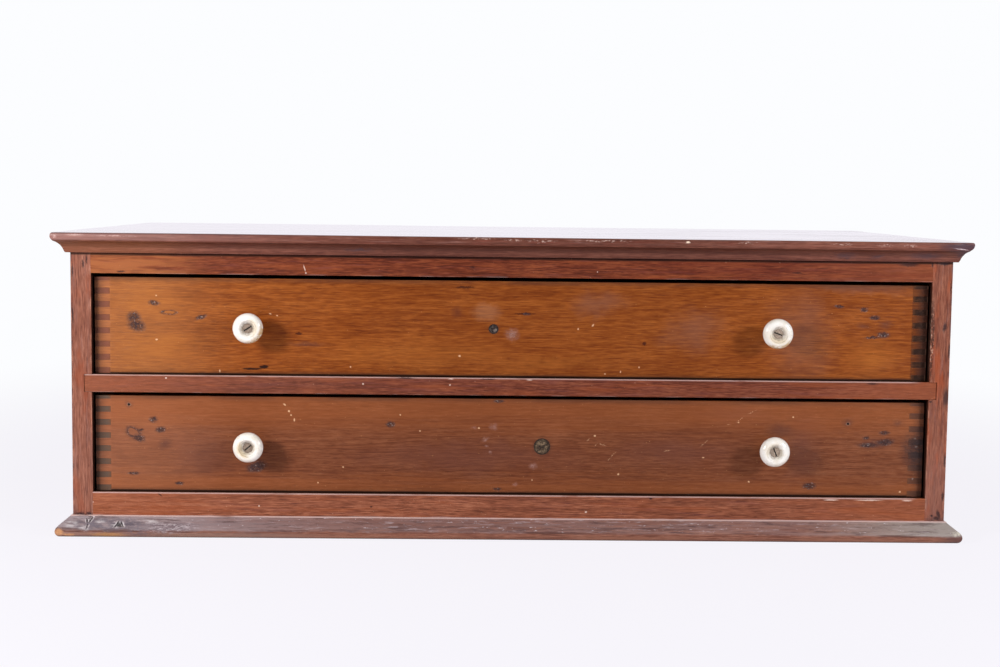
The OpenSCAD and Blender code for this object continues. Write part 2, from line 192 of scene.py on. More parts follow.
class Timber(Finish):
    """Wood with its fibres along run, sawn from a trunk whose middle passes through heart.

    tones are its dark, middle and light colour. ring is the width of a year, and figure, fine, band,
    mottle and pore are the strength of the years, fibres, broad bands, blotches and pores.
    """

    def __init__(self, name, run, heart, tones, seed, ring=4, fine=0.5, band=0.5, mottle=0.4, pore=0.3,
                 figure=0.1):
        super().__init__(name)
        along, a, b = {"x": (self.x, self.y, self.z), "y": (self.y, self.x, self.z),
                       "z": (self.z, self.x, self.y)}[run]
        self.fibre = self.node("CombineXYZ", inputs={0: along, 1: a, 2: b})
        drift = self.cloud((420, 70, 70), seed, 2, 0.5, self.fibre) * 40 - 20
        from_heart = {0: 0, 1: a - heart[0] + drift, 2: b - heart[1] + drift}
        reach = self.length(self.node("CombineXYZ", inputs=from_heart)) * (1 / ring)
        year = reach.math("FRACT", reach)
        rings = year.step(0, 0.8) - year.step(0.86, 1)
        bands = self.cloud((300, 9, 9), seed + 5, 3, 0.6, self.fibre)
        self.threads = self.cloud((34, 1, 1), seed + 9, 4, 0.7, self.fibre)
        flecks = self.cloud((9, 0.75, 0.75), seed + 11, 2, 0.6, self.fibre)
        self.blotch = self.cloud((52, 30, 30), seed + 13, 4, 0.6, self.fibre)
        light = ((bands - 0.5) * (band * 1.5) + (self.threads - 0.5) * (fine * 1.6)
                 + (flecks - 0.5) * (fine * 2.2) + (rings - 0.5) * figure
                 + (self.blotch - 0.5) * (mottle * 1.8) + 0.5)
        stops = [(at, tone(*colour)) for at, colour in zip((0.1, 0.5, 0.9), tones)]
        self.colour = self.node("ValToRGB", {"stops": stops}, {0: light})
        holes = self.cloud((5, 0.5, 0.5), seed + 17, 1, 0.5, self.fibre).step(0.56, 0.68)
        self.pores = holes * self.blotch.step(0.3, 0.6)
        self.tint(self.pores * pore, tones[0], "MULTIPLY")
        facing = self.parts(self.node("TexCoord", out="Normal"))
        self.end_grain = facing["xyz".index(run)].size().step(0.6, 0.9)
        self.relief = (self.threads - 0.5) * 0.04 - self.pores * 0.05
        self.dullness = 0

    def tint(self, share, colour, how="MIX"):
        self.colour = self.mix(self.colour, colour, share, how)

    def blemish(self, marks, y, share, colour, ragged=1.5, soft=0.6, seed=3, deep=5):
        """A tint of that share inside the marks, which are as spots takes them."""
        self.tint(self.spots(marks, y, ragged, soft, seed, deep) * share, colour)

    def sink(self, share, depth):
        """Lowers the surface by depth millimetres where share is 1."""
        self.relief = self.relief - share * depth

    def sheen(self, level, spread=0.12, gloss=0.15):
        """Ends the finish: its roughness about level, and its relief as a bump."""
        rough = (self.threads - 0.5) * spread + (self.blotch - 0.5) * spread * 2 + level + self.dullness
        return self.done(base_color=self.colour, roughness=rough, normal=self.bump(self.relief),
                         specular_ior_level=gloss)


def span(name):
    """The lowest and highest corner of a CAD node, in millimetres."""
    return [[v / MM for v in corner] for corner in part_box(name)]


def own_piece(name, points, faces, material, body, stands_for):
    """A mesh of this file's own, in millimetres, that rides on a body and stands for a CAD node."""
    mesh = bpy.data.meshes.new(name)
    mesh.from_pydata((np.asarray(points) * MM).tolist(), [], faces)
    mesh.validate()
    mesh.shade_smooth()
    smooth_under = 32
    mesh.set_sharp_from_angle(angle=math.radians(smooth_under))
    mesh.materials.append(material)
    piece = bpy.data.objects.new(name, mesh)
    bpy.context.scene.collection.objects.link(piece)
    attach(piece, body)
    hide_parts(stands_for)


def arc(middle, radius, start, end, count):
    """Points on an arc from one turn to another, in degrees."""
    return [(middle[0] + radius * math.cos(t), middle[1] + radius * math.sin(t))
            for t in np.radians(np.linspace(start, end, count))]


def eased(section, rounds=3):
    """The section's corners worn round: it is cut into short steps, and each drawn to its neighbours."""
    longest_step = 0.45
    path = [np.array(section[0], float)]
    for start, end in zip(section, section[1:]):
        start, end = np.array(start, float), np.array(end, float)
        count = max(1, round(float(np.linalg.norm(end - start)) / longest_step))
        path += [start + (end - start) * (i + 1) / count for i in range(count)]
    path = np.array(path)
    for _ in range(rounds):
        path[1:-1] = path[1:-1] * 0.5 + (path[:-2] + path[2:]) * 0.25
    return path


side_low, side_high = span("right_side")
CASE_X, CASE_FRONT, CASE_BACK = side_high[0], side_low[1], side_high[1]


def moulded_mesh(section, up, pitch, top_grid):
    """Points and faces of a board with one section round its front and ends, mitred at the corners.

    The section goes from the underside outwards and back in over the top. pitch is the distance
    between the stations of the front run; top_grid says if the top is a net or one flat face.
    """
    across = round(2 * CASE_X / pitch)
    deep = round((CASE_BACK - CASE_FRONT) / (pitch * 2))
    rings = []
    for out, high in section:
        x, y = CASE_X + out, CASE_FRONT - out
        left = [(-x, CASE_BACK + (y - CASE_BACK) * i / deep, up + high) for i in range(deep)]
        middle = [(-x + 2 * x * i / across, y, up + high) for i in range(across)]
        right = [(x, y + (CASE_BACK - y) * i / deep, up + high) for i in range(deep + 1)]
        rings.append(left + middle + right)
    points = [p for ring in rings for p in ring]
    trip = len(rings[0])
    faces = [(k * trip + j, k * trip + j + 1, (k + 1) * trip + j + 1, (k + 1) * trip + j)
             for k in range(len(rings) - 1) for j in range(trip - 1)]
    faces.append(list(reversed(range(trip))))
    last = (len(rings) - 1) * trip
    back_row = []
    if top_grid:
        rows = []
        for i in range(deep):
            left, right = rings[-1][i], rings[-1][trip - 1 - i]
            row = [last + i]
            for share in np.arange(1, across) / across:
                row.append(len(points))
                points.append(tuple(left[n] + (right[n] - left[n]) * share for n in range(3)))
            rows.append(row + [last + trip - 1 - i])
        rows.append([last + deep + c for c in range(across + 1)])
        faces += [(a, b, c, d) for low, high in zip(rows, rows[1:])
                  for a, b, c, d in zip(low, high, high[1:], low[1:])]
        back_row = rows[0][1:-1]
    else:
        faces.append([last + j for j in range(trip)])
    ends = [k * trip for k in range(len(rings))]
    faces.append(ends + back_row + [e + trip - 1 for e in reversed(ends)])
    return np.array(points), faces


def rough(points, size, seed):
    """Noise from -1 to 1 at each point; one patch is size millimetres."""
    return np.array([noise.noise(Vector(p / size) + Vector((seed, seed, seed))) for p in points])


def outward(points):
    """How far each point lies outside the faces of the case."""
    return np.maximum(np.abs(points[:, 0]) - CASE_X, CASE_FRONT - points[:, 1])


def wear_front(points, start, depth, patch, seed):
    """Rubs the front's nose back by about depth, from start millimetres out, more in some patches."""
    share = np.clip((outward(points) - start) / 5, 0, 1)
    points[:, 1] += share * depth * (1 + 0.9 * rough(points, patch, seed)) * (points[:, 1] < CASE_FRONT)


def score(x1, z1, x2, z2, half_width):
    """A straight score as a mark: its middle, half length, half width and turn."""
    long = math.hypot(x2 - x1, z2 - z1) / 2
    return (x1 + x2) / 2, (z1 + z2) / 2, long, half_width, math.degrees(math.atan2(z2 - z1, x2 - x1))


base_t = span("base_board")[1][2]
UNDER_CASE = -3  # both mouldings start this far inside the faces of the case
foot_edge, base_nose, base_nose_r, flat_edge, step_down = 7.4, (6.5, 4.3), 4.5, 1.6, 0.8
base_section = [(UNDER_CASE, 0), (foot_edge, 0), *arc(base_nose, base_nose_r, -66, 49, 29),
                (flat_edge, base_t - step_down), (flat_edge, base_t), (UNDER_CASE, base_t)]
base_points, base_faces = moulded_mesh(eased(base_section), up=0, pitch=2, top_grid=False)
wear_front(base_points, start=6, depth=0.35, patch=22, seed=4)
base_gouges = [(-309, -170, 13, 6.5, 3), (-304, -173, 8, 3, 1.6), (-283.5, -173.5, 9.4, 3.2, 1.2),
               (-276, -173.5, 9, 4, 0.5), (-326, -174.5, 5, 5.5, 1.4), (307, -169, 12.5, 3, 0.8)]
for x, y, z, size, depth in base_gouges:
    far = np.linalg.norm(base_points - (x, y, z), axis=1) / size
    bite = np.clip(1 - far, 0, 1) * depth * (1 + 0.8 * rough(base_points, 2.5, 9))
    base_points += np.outer(bite, (0, 0.75, -0.45)) * (base_points[:, 2:3] > 0.5)

base_wood = Timber("dusty mahogany of the base board", "x", (-140, -60),
                   ((92, 52, 42), (126, 78, 62), (154, 106, 88)), 21, fine=0.6, band=0.5)
lip_z, slope_top, slope_y = 4.4, 13.8, -172
ragged_z = base_wood.z + (base_wood.cloud((30, 9, 9), 39, 4, 0.7) - 0.5) * 4
slope = ragged_z.step(lip_z, 6.6) * base_wood.z.step(14.4, slope_top)
dust = base_wood.cloud((60, 12, 2.2), 40, 5, 0.7)
base_wood.tint(slope * dust.step(0.25, 0.6) * 0.65, (132, 106, 104))
base_wood.tint(slope * base_wood.x.step(-110, -290) * 0.65, (150, 142, 148))
base_wood.tint(slope * base_wood.x.step(200, 320) * 0.85, (152, 144, 138))
base_wood.tint(slope * base_wood.cloud((26, 9, 1.5), 44, 5, 0.75).step(0.5, 0.64) * 0.7, (76, 54, 54))
base_wood.tint(slope * base_wood.cloud((12, 6, 1.1), 45, 4, 0.7).step(0.56, 0.68) * 0.5, (174, 160, 164))
base_wood.tint(slope * base_wood.cloud((5, 5, 1.2), 46, 3, 0.7).step(0.65, 0.71) * 0.7, (212, 202, 208))
lip = base_wood.cloud((60, 9, 3), 47, 4, 0.6)
base_wood.tint(base_wood.z.step(lip_z, 2.4) * lip.step(0.35, 0.55) * 0.6, (156, 106, 84))
base_wood.tint(base_wood.z.step(5, 3.4) * base_wood.x.step(-110, -190) * 0.3, (138, 129, 125))
base_wood.blemish([(-291, 2.2, 19, 2.6)], slope_y, 0.5, (190, 136, 66), 1.6, 0.7, 5, 9)
base_wood.tint(ragged_z.step(7.4, 6.2) * ragged_z.step(3.4, 4.6) * lip.step(0.5, 0.6) * 0.7, (74, 40, 34))
base_wood.tint(base_wood.z.step(slope_top, 14.3) * base_wood.cloud((30, 4, 4), 50).step(0.1, 0.4) * 0.75,
               (210, 184, 180))
flaked = base_wood.spots([(-246, 7.2, 28, 5.6, 2)], slope_y - 1, 2, 0.7)
flake_rim = (base_wood.cloud((15, 9, 2.4), 55, 4, 0.65) - 0.5).size().step(0.045, 0.014)
base_wood.tint(flaked * 0.55, (104, 90, 98))
base_wood.tint(flaked * flake_rim * 0.75, (186, 172, 176))
bruised = base_wood.spots([(-292, 9, 42, 7.4), (-271, 4.8, 15, 4.6)], slope_y, 2.5, 0.6, 8)
dusted = base_wood.spots([(-308, 6.4, 6, 2.6), (-318, 9, 7, 3.4), (-284, 8.6, 7, 2.6), (-262, 11, 9, 1.8),
                          (-297, 11, 5, 2)], slope_y, 2, 0.8, 8)
base_wood.tint(bruised * base_wood.cloud((9, 6, 2.2), 57, 4, 0.7).step(0.38, 0.55) * 0.7, (84, 78, 90))
base_wood.tint(dusted * base_wood.cloud((8, 4, 1), 59, 4, 0.7).step(0.42, 0.56) * 0.65, (204, 198, 200))
split_lines = [(-309.2, 13.8, -305.8, 9.4), (-302.4, 14.6, -306, 9.4), (-305.8, 9.8, -306.8, 3.8),
               (-287.2, 6.2, -283, 11.8), (-283, 11.8, -278.8, 6), (-287.4, 9, -278.2, 7.2),
               (-277, 7.2, -265, 4.8), (-296, 5.6, -288, 4)]
split_pale = base_wood.spots([score(x1 + side, z1, x2 + side, z2, 0.9) for x1, z1, x2, z2 in split_lines
                              for side in (-1.1, 1.1)], slope_y + 1, 0.9, 0.8)
split_dark = base_wood.spots([score(*split, 0.8) for split in split_lines]
                             + [(-311.6, 14.4, 7.4, 1.7), (-305.8, 13.4, 3.8, 2.4), (-298, 14.4, 5, 0.9),
                                (-283, 8.8, 2.4, 1.8), (-271, 5, 7, 1.8, -8)], slope_y + 1, 0.9, 0.6)
base_wood.tint(split_pale * 0.75, (212, 204, 206))
base_wood.tint(split_dark * 0.9, (26, 19, 21))
base_wood.blemish([(-326, 3.4, 5, 3.6), (-319, 2, 6, 1.4)], slope_y - 2, 0.7, (204, 148, 100),
                  1.6, 0.7, 5, 9)
base_wood.tint(base_wood.x.step(306, 326) * base_wood.z.step(6.6, lip_z) * 0.65, (84, 60, 62))
crumbled = base_wood.cloud(2.2, 60, 3, 0.7).step(0.42, 0.55)
base_wood.blemish([(325, 7.4, 5, 3, 20)], slope_y, crumbled * 0.8, (214, 208, 190), 1.6, 0.8, 5, 9)
# Painted shade: the lowest 1.4 mm of the nose, where it turns under to the floor, darkened.
base_wood.tint(base_wood.z.step(1.4, 0.3) * 0.6, (60, 38, 36))
base_wood.sink(split_dark, 0.5)
base_wood.sink(flaked * flake_rim, -0.15)
base_wood.sink(slope * dust, -0.12)
base_wood.dullness = slope * 0.25
own_piece("base_board_wood", base_points, base_faces, base_wood.sheen(0.42, 0.12, 0.25), "case",
          "base_board")


# Screws of the case: iron wood screws with slotted flat heads, from below through the base board
# and up through the kickers. They have gone brown and dull.

def dress(name, material, ease=0):
    """Gives a CAD node its finish, and eases its sharp arrises with a small bevel."""
    piece = nodes[name]
    for i in range(len(piece.data.materials)):
        piece.data.materials[i] = material
    if ease:
        weld = piece.modifiers.new("one skin", "WELD")
        weld.merge_threshold = 0.01 * MM
        bevel = piece.modifiers.new("eased arrises", "BEVEL")
        bevel.width = ease * MM
        bevel.segments = 2
        bevel.limit_method = "ANGLE"
        bevel.angle_limit = math.radians(50)
        bevel.harden_normals = True


screw_iron = Finish("old iron of the screws")
iron_rust = screw_iron.cloud(1.6, 3, 4, 0.7).step(0.42, 0.62)
iron_grain = screw_iron.cloud(0.35, 8, 3, 0.6)
screw_iron.done(
    base_color=screw_iron.mix((142, 132, 124), (104, 82, 68), iron_rust),
    metallic=0.35 - iron_rust * 0.3, roughness=iron_grain * 0.3 + iron_rust * 0.2 + 0.3,
    normal=screw_iron.bump(iron_grain + iron_rust, 0.7, 0.2 * MM))
for name in ("base_screws", "rail_screws", "top_screws"):
    dress(name, screw_iron.material)


# Side boards: mahogany with the fibres upright. Their front edges are the posts of the front, and the
# middle rail is housed in them. Streaked and greyed, with dark knocks along the outer arrises.

side_tones = {"left": ((97, 54, 42), (131, 80, 63), (157, 105, 86)),
              "right": ((88, 45, 34), (121, 68, 51), (146, 92, 71))}
side_knocks = {
    "left": [(-316.6, 192, 0.9, 6), (-316.8, 160, 0.8, 9), (-309, 197, 1.2, 4), (-306.5, 200, 0.6, 4.5),
             (-313.2, 15.4, 5.4, 1.2), (-306.3, 15.6, 2.6, 1.2)],
    "right": [(316.2, 106, 2.8, 10), (317.2, 186, 0.9, 8), (317, 60, 1, 7), (317.2, 140, 0.8, 9),
              (313.4, 157.7, 1.8, 5, -8), (313.8, 19.6, 1.7, 4.8, 15), (312.4, 16.8, 3.4, 2.2),
              (309, 18.6, 1.2, 1.2), (312, 203.6, 5, 1.5), (316.5, 33, 1.2, 5), (305, 103, 1.3, 1.3)]}
for hand, sign in (("left", -1), ("right", 1)):
    side_wood = Timber(f"mahogany of the {hand} side", "z", (sign * 420, -40), side_tones[hand],
                       61 + sign * 7, fine=0.7, band=0.45, mottle=0.5)
    at_front = side_wood.y.step(CASE_FRONT + 3, CASE_FRONT + 0.5)
    warm = side_wood.cloud((40, 9, 9), 68 + sign, 3, 0.6, side_wood.fibre).step(0.5, 0.66)
    side_wood.tint(warm * (at_front * (0.1 if hand == "left" else 0.4) + 0.2), (154, 70, 34))
    side_wood.tint(at_front * side_wood.z.step(110, 30) * (0.1 if hand == "left" else 0.3), (150, 106, 94))
    greyed = side_wood.cloud((30, 3, 3), 70 + sign, 4, 0.7, side_wood.fibre).step(0.52, 0.68)
    side_wood.tint(greyed * 0.35, (132, 98, 92))
    streaky = side_wood.cloud((12, 1.6, 1.6), 74 + sign, 4, 0.7, side_wood.fibre).step(0.57, 0.68)
    side_wood.tint(streaky * (at_front * 0.25 + 0.3), (80, 40, 36))
    across = side_wood.x * sign
    arris = across.step(CASE_X - 1.5, CASE_X - 0.3).over(across.step(side_low[0] + 1.4, side_low[0] + 0.2))
    rub = side_wood.cloud((9, 3, 3), 77, 3, 0.6, side_wood.fibre)
    side_wood.tint(arris * at_front * rub.step(0.5, 0.62) * 0.35, (190, 140, 118))
    knocked = across.step(CASE_X - 1.6, CASE_X - 0.6) * rub.step(0.5, 0.38)
    foot = side_wood.z.step(base_t + 5, base_t + 0.5) * side_wood.cloud(3, 79, 3, 0.6).step(0.35, 0.6)
    side_wood.tint(knocked.over(foot) * at_front * 0.55, (70, 48, 50))
    # Painted shadow with dirt under the top board, along the top of the front edges; painted shade with
    # grime on the inner faces in the bays, near the front.
    under_top = side_wood.z.step(side_high[2] - 2.2, side_high[2] - 1.2) * at_front
    in_bay = (across.step(side_low[0] + 0.7, side_low[0] + 0.3)
              * side_wood.y.step(CASE_FRONT + 1, CASE_FRONT + 2.6))
    near = side_wood.y.step(CASE_FRONT + 60, CASE_FRONT + 20)
    side_wood.tint((under_top * 0.75).over(in_bay * near * 0.9), (26, 14, 11))
    marks = side_wood.spots(side_knocks[hand], CASE_FRONT, 0.9, 0.7)
    side_wood.tint(marks * 0.8, (40, 28, 32))
    side_wood.sink(marks, 0.3)
    if hand == "right":
        chipped = side_wood.spots([(304.2, 148, 2.3, 40)], CASE_FRONT, 1, 0.5, 4)
        crumbs = side_wood.cloud((1.5, 1.5, 3), 80, 3, 0.7)
        side_wood.tint(chipped * crumbs.step(0.58, 0.46) * 0.8, (40, 31, 28))
        side_wood.tint(chipped * crumbs.step(0.54, 0.64) * 0.6, (186, 164, 146))
    dress(f"{hand}_side", side_wood.sheen(0.4), 0.5)


# Rails: three mahogany bars across the front. The middle one is housed in the sides; the other two
# stand between them on dowels. Dust lies along their upper arrises and in flecks on their faces.

rail_tones = {"top": ((70, 28, 16), (102, 46, 28), (130, 67, 40)),
              "middle": ((76, 34, 22), (106, 52, 36), (132, 74, 52)),
              "bottom": ((100, 54, 38), (134, 77, 55), (162, 102, 76))}
rail_marks = {
    "top": [(-281.9, 191.6, 4.5, 0.8, 3), (286, 203, 10, 2.4), (303, 203, 1, 3), (-30, 197.4, 3, 0.7, 5),
            (205, 196, 5, 0.6)],
    "middle": [(-78, 116.6, 9, 0.7), (-18, 116.4, 8, 0.6), (262, 115.8, 6, 1)],
    "bottom": [(-255, 29.6, 2.6, 0.7, -35), (102.1, 29.8, 1.6, 1.2), (-102, 22, 1.4, 1)]}
rail_flecks = {
    "top": [score(-151.6, 198.6, -149.9, 192.2, 0.5), (-149.7, 192, 0.9, 0.8), (60, 195, 0.6, 0.6)],
    "middle": [(-108.4, 112.1, 1, 0.9), (-45.5, 112, 0.9, 0.8), (-250.3, 115.1, 1, 0.9),
               (-45, 116.4, 2.6, 0.5), (12, 116.2, 3, 0.5)],
    "bottom": [(-183.5, 22, 0.9, 0.9), (-304, 24, 1.1, 1), (54.7, 19.5, 1.1, 0.9), (234.3, 29.9, 7, 0.7),
               (262, 29.9, 13, 0.6), (290.4, 29.8, 5, 0.6)]}
for seed, which in enumerate(rail_tones):
    (_, _, low), (_, _, high) = span(f"{which}_rail")
    rail_wood = Timber(f"mahogany of the {which} rail", "x", (-60, 210 - seed * 30), rail_tones[which],
                       90 + seed * 11, fine=0.8, band=0.4, mottle=0.35, pore=0.3)
    warm = rail_wood.cloud((60, 12, 5), 97 + seed, 4, 0.65).step(0.48, 0.66)
    rail_wood.tint(warm * 0.35, (150, 76, 40))
    cool = rail_wood.cloud((36, 12, 3), 101 + seed, 4, 0.7).step(0.52, 0.68)
    rail_wood.tint(cool * 0.3, (112, 64, 62))
    rail_wood.tint(rail_wood.x.size().step(180, 300) * 0.35, (152, 82, 48))
    face = rail_wood.y.step(CASE_FRONT + 2.5, CASE_FRONT + 0.5)
    dusty = rail_wood.cloud((26, 3, 3), 99 + seed, 3, 0.6)
    upper = rail_wood.z.step(high - 1.1, high - 0.3) * dusty.step(0.25, 0.45) * rail_wood.x.step(300, 288)
    lower = rail_wood.z.step(low + 0.9, low + 0.2) * dusty.step(0.5, 0.62)
    pale = lower * 0.3 if which == "top" else upper.over(lower * 0.4)
    rail_wood.tint(pale * face * 0.75, (196, 166, 160))
    if which == "middle":
        rail_wood.tint(rail_wood.x.step(20, -280) * 0.14, (160, 106, 84))
    if which == "top":
        reddish = rail_wood.cloud((70, 9, 2.6), 103, 4, 0.65).step(0.44, 0.56)
        rail_wood.tint(reddish * rail_wood.x.step(20, 160) * 0.35, (96, 34, 22))
        # Painted highlight: the left lamp's golden sheen in patches at the top rail's left end.
        golden = rail_wood.x.step(-215, -262) * rail_wood.cloud((24, 9, 3), 104, 4).step(0.35, 0.6)
        rail_wood.tint(golden * 0.6, (166, 100, 56))
        # Painted shadow with dirt along the top rail's upper edge, under the top board.
        rail_wood.tint(rail_wood.z.step(high - 2.4, high - 1.3) * 0.8, (26, 12, 9))
    else:
        # Painted shade with grime on the rail's top face, behind its front arris.
        behind_arris = rail_wood.y.step(CASE_FRONT + 1.2, CASE_FRONT + 2.6)
        rail_wood.tint(rail_wood.z.step(high - 0.5, high - 0.1) * behind_arris * 0.9, (22, 12, 9))
    rail_wood.blemish(rail_flecks[which], CASE_FRONT, 0.75, (226, 200, 186), 0.5, 0.7, 6)
    dark = rail_wood.spots(rail_marks[which], CASE_FRONT, 0.9, 0.7)
    rail_wood.tint(dark * 0.8, (44, 24, 24))
    rail_wood.sink(dark, 0.25)
    specks = rail_wood.cloud((1.3, 1.3, 1.1), 106 + seed, 1).step(0.77, 0.8)
    rail_wood.tint(specks * face * 0.5, (206, 160, 130))
    dress(f"{which}_rail", rail_wood.sheen(0.4), 0.6)

dowel_wood = Timber("birch of the dowels", "x", (0, 0),
                    ((150, 116, 76), (190, 158, 112), (214, 186, 144)), 5)
dress("rail_dowels", dowel_wood.sheen(0.6))


# Runners and kickers: plain pine strips along both sides. The drawers slide on the runners, and the
# kickers over the upper drawer keep it from tipping. The wood is bare and greyed by dust.

strip_wood = Timber("bare pine of the strips", "y", (160, -40),
                    ((132, 92, 54), (184, 142, 92), (214, 178, 128)), 130, ring=3.2, pore=0.1, figure=0.4)
strip_wood.tint(strip_wood.cloud((90, 20, 20), 133, 4, 0.6).step(0.4, 0.75) * 0.4, (120, 100, 82))
strip_wood.sheen(0.6)
for hand in ("left", "right"):
    for part, ease in (("upper_runner", 0.4), ("lower_runner", 0.4), ("kicker", 0)):
        dress(f"{hand}_{part}", strip_wood.material, ease)


# Back panel: one thin pine board in the rabbets of the sides, held by wire nails. It was never
# varnished, and its years and knots show.

back_wood = Timber("bare pine of the back", "x", (110, 40),
                   ((136, 96, 58), (182, 140, 92), (208, 172, 122)), 151, ring=4.4, pore=0.1, mottle=0.2,
                   figure=0.6)
back_wood.tint(back_wood.cloud(60, 155, 5, 0.6).step(0.45, 0.7) * 0.3, (112, 92, 72))
knots = [(-150, 78, 11, 8, 10), (88, 150, 8, 6, -5), (214, 62, 6, 5)]
round_knots = [(x, z, 2.4 * long, 2 * high, *turn) for x, z, long, high, *turn in knots]
back_wood.blemish(knots, CASE_BACK, 0.85, (84, 46, 26), 1.6, 0.8, 7)
back_wood.blemish(round_knots, CASE_BACK, 0.4, (134, 84, 48), 4, 1, 9)
dress("back_panel", back_wood.sheen(0.65))
dress("back_nails", screw_iron.material)


# Top board: one wide mahogany plank with a deeper moulding round three edges, planed from its front
# and ends: a nose on top, a quirk, a cove and a fillet. Polished on top, rubbed and chipped at the nose.

top_low, top_high = span("top_board")
top_z, top_t = top_low[2], top_high[2] - top_low[2]
nose_out, nose_r, nose_high = 12, 4, top_t - 2.6
quirk_x, quirk_z = 10.3, top_t - 5.8
cove_r, cove_in, cove_out, fillet = 10, (3.7, 1), (quirk_x, quirk_z - 0.4), (3.3, 1)
chord = np.subtract(cove_out, cove_in)
half_chord = float(np.linalg.norm(chord)) / 2
cove_middle = (np.add(cove_in, cove_out) / 2 + np.array([chord[1], -chord[0]]) / (2 * half_chord)
               * math.sqrt(cove_r**2 - half_chord**2))
cove_turns = [math.degrees(math.atan2(p[1] - cove_middle[1], p[0] - cove_middle[0])) % 360
              for p in (cove_in, cove_out)]
nose_turns = [math.degrees(math.asin((z - nose_high) / nose_r)) for z in (quirk_z, top_t)]
top_section = [(UNDER_CASE, 0), (fillet[0], 0), fillet, *arc(cove_middle, cove_r, *cove_turns, 15),
               (quirk_x, quirk_z), *arc((nose_out - nose_r, nose_high), nose_r, *nose_turns, 15),
               (UNDER_CASE, top_t)]
top_points, top_faces = moulded_mesh(eased(top_section, rounds=2), up=top_z, pitch=3, top_grid=True)
wear_front(top_points, start=8, depth=0.25, patch=30, seed=14)
nose_y = CASE_FRONT - 11
surface = top_points[:, 2] > top_high[2] - 0.6
top_points[:, 2] -= surface * (0.18 + 0.18 * rough(top_points * (0.4, 1, 1), 60, 17))
for x, z, size, depth in [(328, 7, 7, 2.2), (322, 11.5, 5, 0.8), (-329, 12.5, 4, 0.7),
                          (18, 13.6, 2.6, 0.5), (171, 13.8, 2.4, 0.4)]:
    far = np.linalg.norm(top_points - (x, nose_y, top_z + z), axis=1) / size
    bite = np.clip(1 - far, 0, 1) * depth * (1 + 0.6 * rough(top_points, 3, 19))
    top_points += np.outer(bite, (-0.5 if x > 0 else 0.5, 0.7, -0.2))

top_wood = Timber("varnished mahogany of the top", "x", (-30, 60),
                  ((84, 43, 34), (110, 62, 49), (136, 84, 68)), 171, ring=5, fine=0.6)
quirk, crest = top_z + quirk_z, top_z + top_t


def raised(marks):
    """Marks whose heights are given from the underside of the top board."""
    return [(x, top_z + z, *rest) for x, z, *rest in marks]


nose_band = top_wood.z.step(quirk - 0.2, quirk + 0.8) * top_wood.z.step(crest, crest - 1.2)
# Painted shade in the upper part of the cove, which faces down.
in_cove = top_wood.z.step(quirk - 0.1, quirk - 0.6) * top_wood.z.step(top_z + 2.6, top_z + 5.4)
top_wood.tint(in_cove * 0.45, (54, 24, 17))
# Painted shade on the nose and just under the quirk along the middle of the length, between the lamps.
mid_length = top_wood.x.step(-230, -60) * top_wood.x.step(230, 120)
below_quirk = top_wood.z.step(quirk, quirk - 0.6)
top_wood.tint(nose_band.over(below_quirk) * mid_length * 0.36, (56, 22, 12))
# Painted light from the left lamp: warmer under the quirk towards the left end.
top_wood.tint(below_quirk * top_wood.x.step(-200, -280) * 0.25, (158, 96, 52))
top_rub = top_wood.cloud((34, 6, 1.4), 175, 4, 0.65)
top_wood.tint(nose_band * top_rub.step(0.52, 0.66) * 0.4, (128, 62, 50))
top_wood.tint(nose_band * top_rub.step(0.46, 0.34) * 0.35, (160, 118, 110))
# Painted light from the left lamp: the nose paler towards the left end.
top_wood.tint(top_wood.x.step(-120, -320) * nose_band * 0.45, (172, 132, 126))
on_crest = top_wood.z.step(crest - 1.5, crest - 0.6) * top_wood.y.step(nose_y + 5, nose_y + 2)
top_wood.tint(top_wood.x.step(-90, -200) * on_crest * 0.5, (86, 58, 62))
nose_streaks = top_wood.cloud((60, 6, 1), 178, 4, 0.7).step(0.5, 0.62)
top_wood.tint(top_wood.x.step(-120, -240) * nose_band * nose_streaks * 0.45, (104, 66, 62))
pale_rub = top_wood.cloud((5, 3, 1.2), 180, 3, 0.7).step(0.36, 0.56)
top_wood.blemish([(-312, crest - 1.9, 9, 0.9), (-284, crest - 2.2, 22, 0.6), (-326, crest - 3, 2, 1.8)],
                 nose_y, pale_rub * 0.5, (222, 190, 184), 1, 0.9, 5, 8)
scuffs = [(123.5, 12.5, 3.6, 1.2), (166.4, 12.5, 9, 1), (234, 12.3, 13, 1), (264, 12, 9, 1),
          (283, 11.8, 7, 1.2), (19, 12.3, 14, 1.2), (-2, 12.6, 10, 1), (64, 12.8, 26, 0.8),
          (-26, 13.4, 20, 0.8)]
scuffed = top_wood.cloud((2.4, 2.4, 0.8), 177, 3, 0.7).step(0.5, 0.6)
top_wood.blemish(raised(scuffs), nose_y, scuffed * 0.75, (214, 184, 172), 2, 0.8)
stains = [(238, 4, 11, 3), (262, 3.5, 7, 2.4), (296, 4.5, 18, 3.4), (324, 6, 9, 5), (-112, 4, 14, 1.6)]
top_wood.blemish(raised(stains), CASE_FRONT - 7, 0.6, (64, 50, 58), 3, 0.9, 4, 7)
top_wood.blemish(raised([(322, 11.5, 24, 5)]), nose_y, 0.8, (60, 48, 60), 2, 0.8, 5, 9)
top_wood.blemish(raised([(123.5, 12.6, 1.9, 0.9)]), nose_y, 0.9, (240, 214, 190), 0.5, 0.5)
tip_score = score(313, 10.6, 328, 8.8, 0.5)
top_wood.blemish(raised([tip_score]), nose_y, 0.8, (226, 204, 206), 0.6, 0.8, 3, 8)
polished = top_wood.z.step(top_high[2] - 1.4, top_high[2] - 0.5)
top_wood.relief = top_wood.relief * (1 - polished * 0.9)
top_wood.dullness = polished * -0.12
own_piece("top_board_wood", top_points, top_faces, top_wood.sheen(0.36, 0.06, 0.25), "case",
          "top_board")
